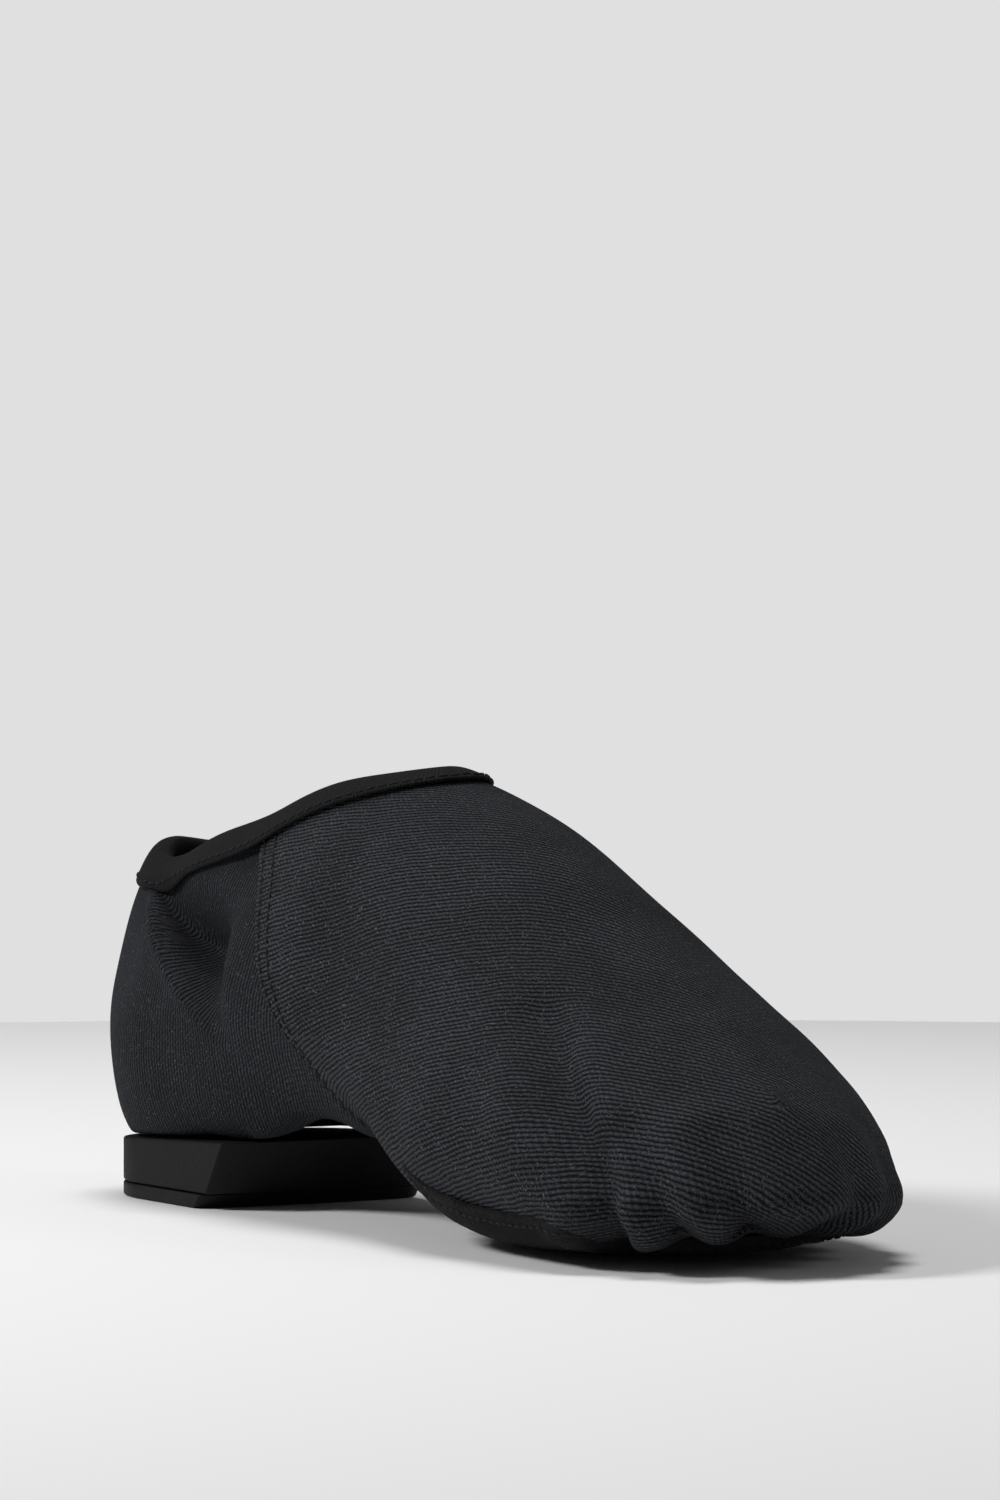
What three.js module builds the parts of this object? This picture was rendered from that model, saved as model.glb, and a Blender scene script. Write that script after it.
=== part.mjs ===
// A slip-on split-sole dance shoe for the right foot, as the separate pieces it is sewn and glued from.
// Millimetres, +Z up, +X towards the toe, +Y towards the wearer's left.
import * as THREE from 'three';
import { mergeVertices } from 'three/addons/utils/BufferGeometryUtils.js';

// Overall sizes
const length = 247;          // heel to toe
const ballWidth = 92;        // widest part of the vamp
const heelWidth = 60;        // widest part of the quarters
const waistWidth = 66;       // upper at the arch
const backHeight = 74;       // edge of the quarters at the back seam
const sideHeight = 68;       // lowest point of that edge, beside the ankle
const throatHeight = 92;     // edge of the vamp on the instep
const throatFromBack = 107;  // where that edge crosses the middle
const ballFromBack = 171;    // widest place
const toeHeight = 33;        // top of the toe box
const toeSpring = 7;         // lift of the toe's underside
const archHeight = 25;       // underside of the upper between the soles
const swing = 13;            // how far the forepart leans to the inner side
const toeReturn = 5;         // how far the toe comes back again

// Sole sizes
const heelHeight = 12;       // back of the heel, top piece included
const heelRise = 2.8;        // how much higher the heel is at its front
const heelLength = 66.5;     // along its top
const heelSlant = 13;        // how far its front face leans forward
const heelHalfWidth = 27;
const heelSetIn = 4;         // its back, from the back of the shoe
const heelBow = 3;           // how far its front face bulges
const topPieceThickness = 3;
const patchThickness = 3;
const patchRear = 113;       // rear edge of the suede patch, from the back of the shoe
const patchFrontGap = 20;    // from its front edge to the toe
const patchHalfWidth = 32;
const patchRearHalfWidth = 24;
const patchTaper = 55;       // length over which its width changes at either end
const patchToeNarrowing = 9;
const skivedBand = 3.5;      // thinned edge of the patch, where its stitches lie
const skivedDepth = 1.5;

// Cloth thicknesses and the clearance between pieces that touch
const cloth = 1.2;
const liningCloth = 0.8;
const counterThickness = 1.2;
const gap = 0.3;
const turnIn = 11;           // width of the upper's edge under the foot
const turnInRise = 1.5;      // its inner edge lies this much higher
const lap = 10;              // how far the vamp covers the quarter
const bindingWidth = 6;
const bindingCloth = 0.9;
const bindingEase = 0.7;     // clearance of the binding over the panels
const elasticRadius = 0.7;
const threadRadius = 0.35;
const seamRows = [1.6, 4.6]; // stitch rows behind each other, from the vamp's edge
const insoleThickness = 1.6;
const padThickness = 2.4;
const sockThickness = 0.8;
const tapeThickness = 0.6;

const backX = -length / 2;
const toeX = length / 2;
const ballX = backX + ballFromBack;

// ---- The shoe's skin ----
// Five guide lines run from the back seam (station 0) along one side to the toe (station 10).
// margin: inner edge of the turned-in cloth; edge: bottom edge of the wall; belly: widest line;
// shoulder: above it; top: the foot opening up to station 5, then the ridge of the vamp.
const throat = 5;
const stations = 10;
const seatZ = heelHeight + 2 * gap;
const toeZ = patchThickness + gap;
const ballY = ballWidth / 2;
const heelY = heelWidth / 2;
const waistY = waistWidth / 2;

const edgePoints = [
  [backX + 5, 0, seatZ], [backX + 12, heelY - 12, seatZ], [backX + 30, heelY - 4, seatZ + 1.3],
  [backX + 58, waistY - 9, seatZ + 2.9], [backX + 88, waistY - 11, archHeight],
  [backX + 118, waistY - 11, archHeight - 6],
  [backX + 145, ballY - 17, toeZ + 3], [ballX, ballY - 15, toeZ], [toeX - 38, ballY - 17, toeZ + toeSpring * 0.2],
  [toeX - 20, ballY - 28, toeZ + toeSpring * 0.5], [toeX - 12, 0, toeZ + toeSpring * 0.8],
];
const bellyPoints = [
  [backX, 0, 36], [backX + 8.5, heelY - 9, 36], [backX + 28, heelY, 37],
  [backX + 58, waistY - 2, 42], [backX + 90, waistY + 2, 45], [backX + 120, waistY + 6, 37],
  [backX + 146, ballY - 1, 28], [ballX + 2, ballY, 22], [toeX - 36, ballY - 7, 16],
  [toeX - 11, ballY - 23, 14], [toeX, 0, 15],
];
const shoulderPoints = [
  [backX + 1.5, 0, 57], [backX + 8.5, heelY - 13, 57], [backX + 27, heelY - 6, 56],
  [backX + 58, waistY - 9, 66], [backX + 92, waistY - 8, 76],
  [backX + 123, waistY - 6, 71], [backX + 150, ballY - 18, 59], [ballX + 8, ballY - 17, 47],
  [toeX - 36, ballY - 19, 34], [toeX - 16, ballY - 29, 27], [toeX - 7, 0, 25],
];
const openingPoints = [
  [backX + 5, 0, backHeight], [backX + 10, heelY - 19, backHeight - 2], [backX + 27, heelY - 13, sideHeight],
  [backX + 57, waistY - 16, 77], [backX + 88, waistY - 19, 89], [backX + throatFromBack, 0, throatHeight],
];
const ridgePoints = [
  [backX + throatFromBack, 0, throatHeight], [backX + 133, 0, 80], [ballX - 6, 0, 65],
  [toeX - 50, 0, 50], [toeX - 28, 0, 39], [toeX - 15, 0, toeHeight],
];

const vector = ([x, y, z]) => new THREE.Vector3(x, y, z);
const mirrored = (p) => new THREE.Vector3(p.x, -p.y, p.z);

function loopGuide(points) {
  const half = points.map(vector);
  const back = half.slice(1, -1).reverse().map(mirrored);
  const curve = new THREE.CatmullRomCurve3([...half, ...back], true, 'centripetal');
  return (s) => curve.getPoint(s / (2 * (points.length - 1)));
}

// Height of the bottom edge at x, straight between its points.
function edgeHeight(x) {
  const k = THREE.MathUtils.clamp(edgePoints.findIndex((p) => p[0] > x), 1, stations);
  const [from, to] = [edgePoints[k - 1], edgePoints[k]];
  return THREE.MathUtils.mapLinear(x, from[0], to[0], from[2], to[2]);
}

const marginPoints = edgePoints.map(([x, y], k) => {
  const next = vector(edgePoints[Math.min(k + 1, stations)]);
  const last = vector(edgePoints[Math.max(k - 1, 0)]);
  const along = next.sub(last).setZ(0).normalize();
  if (k === 0) along.set(0, 1, 0);
  if (k === stations) along.set(0, -1, 0);
  const inner = x + along.y * turnIn;
  return [inner, y - along.x * turnIn, edgeHeight(inner) + turnInRise];
});
const margin = loopGuide(marginPoints);
const edge = loopGuide(edgePoints);
const belly = loopGuide(bellyPoints);
const shoulder = loopGuide(shoulderPoints);
const opening = loopGuide(openingPoints);
const ridge = new THREE.CatmullRomCurve3(ridgePoints.map(vector), false, 'centripetal');

// The end of a section continues over the ridge, so that both sides meet smoothly there.
function overRidge(top, below, along) {
  const offset = below.clone().sub(top);
  const across = new THREE.Vector3(0, 1, 0);
  const normal = along.clone().cross(across).normalize();
  const drop = normal.multiplyScalar(2 * offset.dot(normal));
  return top.clone().sub(offset).add(drop);
}

function section(s) {
  const below = shoulder(s);
  const u = THREE.MathUtils.clamp((s - throat) / (stations - throat), 0, 1);
  const top = s < throat ? opening(s) : ridge.getPoint(u);
  const along = ridge.getTangent(u);
  const straightOn = top.clone().multiplyScalar(2).sub(below);
  const blend = THREE.MathUtils.smoothstep(s, throat - 1.5, throat);
  const beyond = straightOn.lerp(overRidge(top, below, along), blend);
  return new THREE.CatmullRomCurve3([margin(s), edge(s), belly(s), below, top, beyond], false, 'centripetal');
}

const lean = (x) => swing * THREE.MathUtils.smoothstep(x, backX + 35, backX + 150)
  - toeReturn * THREE.MathUtils.smoothstep(x, toeX - 70, toeX);

const sectionTop = 4 / 5;     // the last of a section's five stretches lies beyond its top

function skinPoint(side, s, t) {
  const p = section(s).getPoint(t * sectionTop);
  return new THREE.Vector3(p.x, side * p.y + lean(p.x), p.z);
}

// ---- Grid over the skin: columns run up the sections, and one of them is the seam ----
const quarterColumns = 11;
const lapColumns = 2;
const collarColumns = 6;
const ridgeColumns = 10;
const collarStart = quarterColumns + lapColumns;
const ridgeStart = collarStart + collarColumns;
const columns = ridgeStart + ridgeColumns;
const rows = 12;
const marginRows = 2;
const seamTop = 3.35;
const seamReach = 1.9;
const stationLength = 26;    // along the collar, between two stations
const lapStations = lap / stationLength;
const marginShare = 0.25;    // of a section's height, below the bottom edge of the wall
const throatReach = 1.7;     // how far the throat's line leans forward down the wall, in stations
const seamBend = 2.2;
const quarterSpread = 0.9;

const seamStation = (t) => seamTop + seamReach * Math.pow(1 - THREE.MathUtils.clamp(t, 0, 1), seamBend);
const throatLine = (t) => throat + throatReach * (1 - THREE.MathUtils.clamp(t, 0, 1));
const rowHeight = (row) => (row < marginRows ? marginShare * row / marginRows
  : marginShare + (1 - marginShare) * (row - marginRows) / (rows - marginRows));

function stationOf(column, t) {
  const upWall = (t - marginShare) / (1 - marginShare);
  const seam = seamStation(upWall);
  const middle = throatLine(upWall);
  if (column <= quarterColumns) return seam * Math.pow(column / quarterColumns, quarterSpread);
  const start = seam + lapStations;
  if (column <= collarStart) return seam + lapStations * (column - quarterColumns) / lapColumns;
  if (column <= ridgeStart) return start + (middle - start) * (column - collarStart) / collarColumns;
  return middle + (stations - middle) * (column - ridgeStart) / ridgeColumns;
}

// Points that coincide on the back seam, the ridge and the toe share one entry, so normals agree there.
const skin = { points: [], normals: [], ids: new Map() };

function skinId(side, column, row) {
  const t = rowHeight(row);
  const p = skinPoint(side, stationOf(column, t), t);
  const key = [p.x, p.y, p.z].map((v) => Math.round(v * 1e4)).join();
  if (!skin.ids.has(key)) {
    skin.ids.set(key, skin.points.length);
    skin.points.push(p);
    skin.normals.push(new THREE.Vector3());
  }
  return skin.ids.get(key);
}

const grid = {};
for (const side of [-1, 1]) {
  grid[side] = [];
  for (let column = 0; column <= columns; column += 1) {
    grid[side].push([]);
    for (let row = 0; row <= rows; row += 1) grid[side][column].push(skinId(side, column, row));
  }
}

// Corner ids of one cell, in the order that makes its face point out of the shoe.
function cell(side, column, row) {
  const near = grid[side][column];
  const far = grid[side][column + 1];
  const corners = [near[row], near[row + 1], far[row + 1], far[row]];
  return side < 0 ? corners.reverse() : corners;
}

const skinTriangles = [];
for (const side of [-1, 1]) {
  for (let column = 0; column < columns; column += 1) {
    for (let row = 0; row < rows; row += 1) {
      const [a, b, c, d] = cell(side, column, row);
      skinTriangles.push([a, b, c], [a, c, d]);
    }
  }
}
for (const [a, b, c] of skinTriangles) {
  const ab = skin.points[b].clone().sub(skin.points[a]);
  const ac = skin.points[c].clone().sub(skin.points[a]);
  const face = ab.cross(ac);
  for (const id of [a, b, c]) skin.normals[id].add(face);
}
for (const normal of skin.normals) normal.normalize();

// ---- Building closed pieces ----
const shoe = new THREE.Group();

function finish(name, geometry, look) {
  geometry.deleteAttribute('normal');
  geometry.deleteAttribute('uv');
  const solid = mergeVertices(geometry, 1e-4);
  const index = solid.getIndex();
  const kept = [];
  for (let i = 0; i < index.count; i += 3) {
    const [a, b, c] = [index.getX(i), index.getX(i + 1), index.getX(i + 2)];
    if (a !== b && b !== c && c !== a) kept.push(a, b, c);
  }
  solid.setIndex(kept);
  solid.computeVertexNormals();
  const mesh = new THREE.Mesh(solid, new THREE.MeshStandardMaterial(look));
  mesh.name = name;
  shoe.add(mesh);
  return mesh;
}

function meshOf(points, triangles) {
  const geometry = new THREE.BufferGeometry();
  const places = points.flatMap((p) => [p.x, p.y, p.z]);
  geometry.setAttribute('position', new THREE.Float32BufferAttribute(places, 3));
  geometry.setIndex(triangles.flat());
  return geometry;
}

// Gives a sheet of cells two faces and a rim. outer and inner say where each id lies on the two faces.
function shell(cells, outer, inner) {
  const ids = new Map();
  const points = [];
  const place = (id) => {
    if (!ids.has(id)) {
      ids.set(id, points.length);
      points.push(outer(id), inner(id));
    }
    return ids.get(id);
  };
  const triangles = [];
  const edges = new Map();
  for (const corners of cells) {
    const ring = corners.filter((id, k) => id !== corners[(k + 1) % corners.length]);
    for (let k = 0; k < ring.length; k += 1) {
      const [a, b] = [ring[k], ring[(k + 1) % ring.length]];
      if (edges.has(`${b},${a}`)) edges.delete(`${b},${a}`);
      else edges.set(`${a},${b}`, [a, b]);
    }
    for (let k = 1; k + 1 < ring.length; k += 1) {
      const [a, b, c] = [place(ring[0]), place(ring[k]), place(ring[k + 1])];
      triangles.push([a, b, c], [a + 1, c + 1, b + 1]);
    }
  }
  for (const [a, b] of edges.values()) {
    const [i, j] = [place(a), place(b)];
    triangles.push([j, i, i + 1], [j, i + 1, j + 1]);
  }
  return meshOf(points, triangles);
}

// A panel of cloth cut from the skin: depth and thickness are measured inwards from it.
function panel(name, patches, depth, thickness, look, split = 0) {
  const cells = [];
  const depths = new Map();
  for (const { side, from, to, low, high } of patches) {
    for (let column = from; column < to; column += 1) {
      for (let row = low; row < high; row += 1) cells.push(cell(side, column, row));
    }
    for (let column = from; column <= to; column += 1) {
      for (let row = low; row <= high; row += 1) depths.set(grid[side][column][row], depth(column, row));
    }
  }
  const ends = new Set([...grid[1][0], ...grid[1][columns]]);
  const sunk = (id, extra) => {
    const p = skin.points[id].clone().addScaledVector(skin.normals[id], -depths.get(id) - extra);
    if (ends.has(id)) p.y += split;
    return p;
  };
  return finish(name, shell(cells, (id) => sunk(id, 0), (id) => sunk(id, thickness)), look);
}

const twill = { color: 0x15161a, roughness: 0.95, metalness: 0 };
const lining = { color: 0x1a1a1c, roughness: 1, metalness: 0 };
const knit = { color: 0x0d0d0f, roughness: 0.9, metalness: 0 };
const stiffener = { color: 0x8d8375, roughness: 0.9, metalness: 0 };
const foam = { color: 0x2a2a2c, roughness: 1, metalness: 0 };
const suede = { color: 0x0c0c0d, roughness: 1, metalness: 0 };
const heelPlastic = { color: 0x0a0a0b, roughness: 0.7, metalness: 0 };
const rubber = { color: 0x080808, roughness: 0.8, metalness: 0 };
const thread = { color: 0x101012, roughness: 0.6, metalness: 0 };

const sideName = { '-1': 'right', 1: 'left' };
const layer = cloth + gap;

// ---- Upper ----
const bothSides = (from, to, low, high) => [-1, 1].map((side) => ({ side, from, to, low, high }));
const seamRow = marginRows;                // row of the wall's bottom edge
const counterColumns = 6;
const counterTop = 7;

panel('vamp', bothSides(quarterColumns, columns, 0, rows), () => 0, cloth, twill);
panel('vamp_lining', bothSides(collarStart + 1, columns, seamRow, rows), () => layer + gap / 2,
  liningCloth, lining);

const lapStart = 0.35;       // share of the step down under the vamp, one column before it
const underVamp = (column) => (column >= quarterColumns ? layer
  : layer * lapStart * (column === quarterColumns - 1));
function liningDepth(column, row) {
  const overCounter = column <= counterColumns && row <= counterTop;
  return layer + (overCounter ? counterThickness + gap : underVamp(column));
}
for (const side of [-1, 1]) {
  const quarter = { side, from: 0, to: collarStart, low: 0, high: rows };
  const backing = { side, from: 0, to: quarterColumns - 1, low: seamRow, high: rows };
  const seamHalf = side * gap / 2;
  panel(`quarter_${sideName[side]}`, [quarter], underVamp, cloth, twill, seamHalf);
  panel(`quarter_lining_${sideName[side]}`, [backing], liningDepth, liningCloth, lining, seamHalf);
}
panel('heel_counter', bothSides(0, counterColumns - 1, seamRow, counterTop - 1), () => layer,
  counterThickness, stiffener);
panel('back_seam_tape', bothSides(0, 1, seamRow + 1, rows - 2),
  (column, row) => liningDepth(column, row) + liningCloth + gap, tapeThickness, lining);

// Nearest place on the skin, with the direction that points out of the shoe there.
function onSkin(point) {
  const spot = { point: null, normal: null, distance: Infinity };
  const triangle = new THREE.Triangle();
  const near = new THREE.Vector3();
  for (const ids of skinTriangles) {
    triangle.set(...ids.map((id) => skin.points[id]));
    if (triangle.getArea() < 1e-6) continue;
    triangle.closestPointToPoint(point, near);
    const distance = near.distanceTo(point);
    if (distance < spot.distance) {
      const weights = triangle.getBarycoord(near, new THREE.Vector3());
      spot.distance = distance;
      spot.point = near.clone();
      spot.normal = new THREE.Vector3();
      ids.forEach((id, k) => spot.normal.addScaledVector(skin.normals[id], weights.getComponent(k)));
      spot.normal.normalize();
    }
  }
  return spot;
}

// ---- Binding round the foot opening ----
const rightEdge = [];
const leftEdge = [];
for (let column = 0; column <= ridgeStart; column += 1) {
  rightEdge.push(grid[-1][column][rows]);
  leftEdge.push(grid[1][column][rows]);
}
const rim = [...rightEdge, ...leftEdge.slice(1, -1).reverse()];
const rimFrames = rim.map((id, k) => {
  const ahead = skin.points[rim[(k + 1) % rim.length]];
  const behind = skin.points[rim[(k + rim.length - 1) % rim.length]];
  const along = ahead.clone().sub(behind).normalize();
  const normal = skin.normals[id].clone();
  const up = normal.clone().cross(along).normalize();
  return { point: skin.points[id], normal, up };
});

// A point beside the rim: down is measured along the cloth from its edge, out is away from the skin.
function besideRim({ point, normal, up }, down, out) {
  if (down <= 0) return point.clone().addScaledVector(up, -down).addScaledVector(normal, out);
  const spot = onSkin(point.clone().addScaledVector(up, -down));
  return spot.point.addScaledVector(spot.normal, out);
}

const insideDepth = 2 * cloth + gap + bindingEase;
const outerFace = bindingEase + bindingCloth;
const innerFace = -insideDepth - bindingCloth;
const middleOut = (outerFace + innerFace) / 2;
const foldHeight = 2 * elasticRadius + 3 * gap;
const [foldOuter, foldInner] = [1.5, 1.2];   // half widths of the fold's top, outside and inside
const foldFoot = 1;
const bindingSection = [
  [bindingWidth, outerFace], [bindingWidth / 2, outerFace], [-foldFoot, outerFace],
  [-foldHeight - bindingCloth, middleOut + foldOuter], [-foldHeight - bindingCloth, middleOut - foldOuter],
  [-foldFoot, innerFace], [bindingWidth / 2, innerFace], [bindingWidth, innerFace],
  [bindingWidth, -insideDepth],
  [bindingWidth / 2, -insideDepth], [-foldFoot, -insideDepth], [-foldHeight, middleOut - foldInner],
  [-foldHeight, middleOut + foldInner], [-foldFoot, bindingEase], [bindingWidth / 2, bindingEase],
  [bindingWidth, bindingEase],
];

function ringSweep(frames, profile, place) {
  const points = frames.flatMap((frame) => profile.map(([down, out]) => place(frame, down, out)));
  const triangles = [];
  const n = profile.length;
  for (let k = 0; k < frames.length; k += 1) {
    const next = (k + 1) % frames.length;
    for (let j = 0; j < n; j += 1) {
      const over = (j + 1) % n;
      const [a, b, c, d] = [k * n + j, next * n + j, next * n + over, k * n + over];
      triangles.push([a, b, c], [a, c, d]);
    }
  }
  return meshOf(points, triangles);
}
finish('topline_binding', ringSweep(rimFrames, bindingSection, besideRim), knit);

function closedTube(points, radius, segments) {
  const path = new THREE.CatmullRomCurve3(points, true, 'centripetal');
  return new THREE.TubeGeometry(path, segments, radius, 5, true);
}
// Ring of six points round a centre, for cords that follow the rim.
const cordSection = (down, out, radius) => Array.from({ length: 6 }, (_, k) => {
  const angle = Math.PI * k / 3;
  return [down + radius * Math.cos(angle), out + radius * Math.sin(angle)];
});
const elastic = cordSection(-elasticRadius - gap, middleOut, elasticRadius);
finish('topline_elastic', ringSweep(rimFrames, elastic, besideRim), knit);
const bindingStitchInset = 1.2;
const bindingStitches = cordSection(bindingWidth - bindingStitchInset,
  outerFace + gap + threadRadius, threadRadius);
finish('binding_thread', ringSweep(rimFrames, bindingStitches, besideRim), thread);

// ---- Seam stitching: two rows on each side, along the vamp's rear edge ----
function openTube(points, radius, steps) {
  const circle = new THREE.Shape();
  circle.absarc(0, 0, radius, 0, Math.PI, false);
  circle.absarc(0, 0, radius, Math.PI, 2 * Math.PI, false);
  const extrudePath = new THREE.CatmullRomCurve3(points, false, 'centripetal');
  return new THREE.ExtrudeGeometry(circle, { steps, extrudePath, curveSegments: 2, bevelEnabled: false });
}
function between(side, column, row) {
  const [low, high] = [Math.floor(row), Math.ceil(row)].map((r) => skin.points[grid[side][column][r]]);
  return low.clone().lerp(high, row - Math.floor(row));
}
const threadStep = 0.6;      // in rows
const threadEnd = 1.6;       // rows left free under the binding
for (const side of [-1, 1]) {
  seamRows.forEach((fromEdge, k) => {
    const line = [];
    for (let row = seamRow + threadStep; row <= rows - threadEnd; row += threadStep) {
      const spot = onSkin(between(side, quarterColumns, row)
        .lerp(between(side, collarStart, row), fromEdge / lap));
      line.push(spot.point.addScaledVector(spot.normal, 1.5 * gap + threadRadius));
    }
    finish(`seam_thread_${sideName[side]}_${['rear', 'front'][k]}`, openTube(line, threadRadius, 18), thread);
  });
}

// ---- Sole ----
// Height and half width of the upper's bottom edge at x.
function bottomEdge(x) {
  let [low, high] = [0, stations];
  for (let k = 0; k < 30; k += 1) {
    const middle = (low + high) / 2;
    if (edge(middle).x < x) low = middle;
    else high = middle;
  }
  return edge(low);
}

// Half width with both ends rounded off.
function rounded(from, to, half, [rearRound, frontRound]) {
  return (x) => {
    const rear = THREE.MathUtils.clamp((from + rearRound - x) / rearRound, 0, 1);
    const front = THREE.MathUtils.clamp((x - to + frontRound) / frontRound, 0, 1);
    return half(x) * Math.sqrt(1 - rear * rear) * Math.sqrt(1 - front * front);
  };
}

const plateStep = 7.6;       // mean distance between a plate's cross sections

// A flat piece between two levels. half(x) is its half width; its ends are rounded off.
function plate(name, from, to, half, under, over, look, rounding = [half(from), half(to)]) {
  const lengthSteps = Math.max(12, Math.ceil((to - from) / plateStep));
  const widthSteps = 6;
  const outline = rounded(from, to, half, rounding);
  const ids = [];
  const spots = [];
  for (let i = 0; i <= lengthSteps; i += 1) {
    const x = (from + to) / 2 - (to - from) / 2 * Math.cos(Math.PI * i / lengthSteps);
    ids.push([]);
    for (let j = 0; j <= widthSteps; j += 1) {
      const v = Math.sin(Math.PI * (j / widthSteps - 0.5));
      const y = v * outline(x);
      ids[i].push(spots.length);
      spots.push({ x, y, inset: Math.min(outline(x) - Math.abs(y), x - from, to - x) });
    }
  }
  const cells = [];
  for (let i = 0; i < lengthSteps; i += 1) {
    for (let j = 0; j < widthSteps; j += 1) {
      cells.push([ids[i][j], ids[i + 1][j], ids[i + 1][j + 1], ids[i][j + 1]]);
    }
  }
  const at = (id, level) => new THREE.Vector3(spots[id].x, spots[id].y + lean(spots[id].x), level(spots[id]));
  return finish(name, shell(cells, (id) => at(id, over), (id) => at(id, under)), look);
}

const hingeX = backX + patchRear;
// The boards and linings rise over the double cloth at the side seams, between these places.
const lapZone = [hingeX - 32, hingeX - 6, hingeX + 30, hingeX + 55];
const lapRise = (x) => (layer + 2 * gap) * (THREE.MathUtils.smoothstep(x, lapZone[0], lapZone[1])
  - THREE.MathUtils.smoothstep(x, lapZone[2], lapZone[3]));
const bed = (lift) => ({ x }) => bottomEdge(x).z + lift + lapRise(x);
const inside = (margins) => (x) => Math.abs(bottomEdge(x).y) - margins;
const boardLift = turnInRise + cloth + 3 * gap;
const padLift = boardLift + insoleThickness + gap;
const wallInset = 7;

plate('forefoot_insole', hingeX + 4, toeX - 24, inside(wallInset), bed(boardLift),
  bed(boardLift + insoleThickness), foam);
plate('heel_seat_board', backX + 11, backX + 78, inside(wallInset), bed(boardLift),
  bed(boardLift + insoleThickness), stiffener);

function pad(name, from, to, half, look) {
  plate(name, from, to, half, bed(padLift), bed(padLift + padThickness), look);
}
const [heelPadRear, heelPadFront] = [backX + 15, backX + 62];
const [ballPadRear, ballPadFront] = [hingeX + 34, toeX - 46];
pad('heel_pad', heelPadRear, heelPadFront, inside(wallInset + 3), foam);
pad('ball_pad', ballPadRear, ballPadFront, inside(wallInset + 4), foam);

// A sock lining lies on the board and rises over the pad.
function sock(name, from, to, padRear, padFront) {
  const [flat, ramp] = [4, 12];
  const onPad = (x) => THREE.MathUtils.smoothstep(x, padRear - ramp, padRear - flat)
    - THREE.MathUtils.smoothstep(x, padFront + flat, padFront + ramp);
  const under = ({ x }) => bed(padLift)({ x }) + (padThickness + gap) * onPad(x);
  plate(name, from, to, inside(wallInset), under, (spot) => under(spot) + sockThickness, lining);
}
sock('rear_sock_lining', backX + 13, hingeX - 3, heelPadRear, heelPadFront);
sock('front_sock_lining', hingeX + 4, toeX - 26, ballPadRear, ballPadFront);

const archLevel = (lift) => ({ x }) => bottomEdge(x).z + turnInRise / 2 + lift;
plate('arch_panel', backX + 5 + turnIn + gap, hingeX + 2, inside(turnIn + 2 * gap), archLevel(0),
  archLevel(cloth), twill,
  [14, 3]);

const patchFrom = backX + patchRear;
const patchTo = toeX - patchFrontGap;
const patchHalf = (x) => THREE.MathUtils.lerp(patchRearHalfWidth, patchHalfWidth,
  THREE.MathUtils.smoothstep(x, patchFrom, patchFrom + patchTaper))
  - patchToeNarrowing * THREE.MathUtils.smoothstep(x, patchTo - patchTaper, patchTo);
const patchRounding = [6, 24];
const patchTop = ({ x }) => bottomEdge(x).z - gap;
const patchUnder = ({ x, inset }) => patchTop({ x }) - patchThickness
  + skivedDepth * (1 - THREE.MathUtils.smoothstep(inset, skivedBand, skivedBand + 2));
plate('forefoot_outsole', patchFrom, patchTo, patchHalf, patchUnder, patchTop, suede,
  patchRounding);

// ---- Heel ----
function heelSlice(name, low, high, look) {
  const [lengthSteps, widthSteps] = [4, 14];
  const heelBack = backX + heelSetIn;
  const points = [];
  const cells = [];
  for (let i = 0; i <= lengthSteps; i += 1) {
    for (let j = 0; j <= widthSteps; j += 1) {
      const a = Math.PI * (j / widthSteps - 0.5);
      points.push([i / lengthSteps, a]);
      if (i === lengthSteps || j === widthSteps) continue;
      const first = i * (widthSteps + 1) + j;
      cells.push([first, first + widthSteps + 1, first + widthSteps + 2, first + 1]);
    }
  }
  const place = (id, level) => {
    const [u, a] = points[id];
    const rear = heelBack + heelHalfWidth * (1 - Math.cos(a));
    const top = heelHeight + heelRise;
    const z = level + (level > topPieceThickness + gap ? heelRise * u : 0);
    const front = heelBack + heelLength - heelSlant * (1 - z / top) + heelBow * Math.cos(a);
    return new THREE.Vector3(rear + (front - rear) * u, heelHalfWidth * Math.sin(a), z);
  };
  return finish(name, shell(cells, (id) => place(id, high), (id) => place(id, low)), look);
}
heelSlice('heel_block', topPieceThickness + gap, heelHeight, heelPlastic);
heelSlice('heel_top_piece', 0, topPieceThickness, rubber);

// Stitches that hold the patch lie in its thinned edge, clear of the floor.
const patchStitches = [];
const patchOutline = rounded(patchFrom, patchTo, patchHalf, patchRounding);
for (const side of [-1, 1]) {
  const line = [];
  for (let k = 0; k <= 16; k += 1) {
    const x = (patchFrom + patchTo) / 2 - (patchTo - patchFrom - skivedBand) / 2 * Math.cos(Math.PI * k / 16);
    const z = patchTop({ x }) - patchThickness + skivedDepth - gap - threadRadius;
    line.push(new THREE.Vector3(x, lean(x) + side * (patchOutline(x) - skivedBand / 2), z));
  }
  patchStitches.push(...(side < 0 ? line : line.reverse()));
}
finish('outsole_thread', closedTube(patchStitches, threadRadius, 44), thread);

// The origin lies on the floor, under the middle of the whole shoe.
const box = new THREE.Box3().setFromObject(shoe);
const middle = box.getCenter(new THREE.Vector3());
shoe.position.set(-middle.x, -middle.y, -box.min.z);

export default shoe;
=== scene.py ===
import bpy
import bmesh
import math
import numpy as np
from mathutils import Matrix, Vector
from mathutils.bvhtree import BVHTree


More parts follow.
